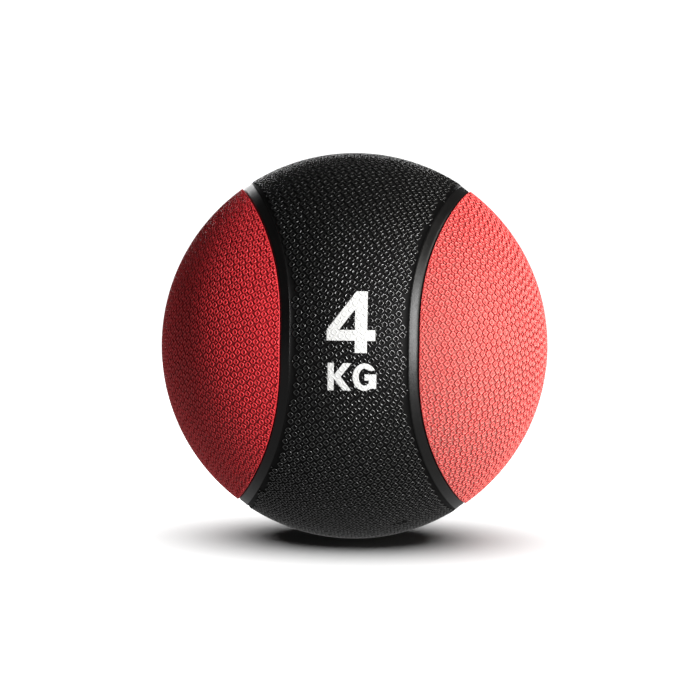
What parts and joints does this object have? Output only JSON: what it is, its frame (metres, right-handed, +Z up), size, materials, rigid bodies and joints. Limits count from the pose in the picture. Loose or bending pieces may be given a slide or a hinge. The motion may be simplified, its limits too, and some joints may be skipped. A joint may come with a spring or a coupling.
{
  "type": "medicine ball",
  "caption": "Round textured rubber exercise ball with red side caps, a black middle band, smooth recessed channels, a weight marking and an inflation valve.",
  "frame": {"origin": "centre of the ball", "axes": "+Z up, the two red caps centred on -X and +X, the weight marking facing -Y, the valve on +Y"},
  "size_m": [0.22, 0.2199, 0.22],
  "materials": {
    "red_rubber": "matte",
    "black_rubber": "matte",
    "channel_rubber": "satin",
    "carcass_rubber": "matte",
    "winding_thread": "matte",
    "bladder_rubber": "satin",
    "valve_rubber": "satin",
    "valve_core_rubber": "satin",
    "marking_ink": "matte"
  },
  "bodies": {
    "root": {"cap_skin_right": "red_rubber", "cap_skin_left": "red_rubber", "band_skin": "black_rubber", "channel_strip_right": "channel_rubber", "channel_strip_left": "channel_rubber", "carcass_front_half": "carcass_rubber", "carcass_rear_half": "carcass_rubber", "winding_layer": "winding_thread", "bladder": "bladder_rubber", "valve_housing": "valve_rubber", "valve_core": "valve_core_rubber", "numeral_four": "marking_ink", "letter_k": "marking_ink", "letter_g": "marking_ink"}
  },
  "joints": []
}
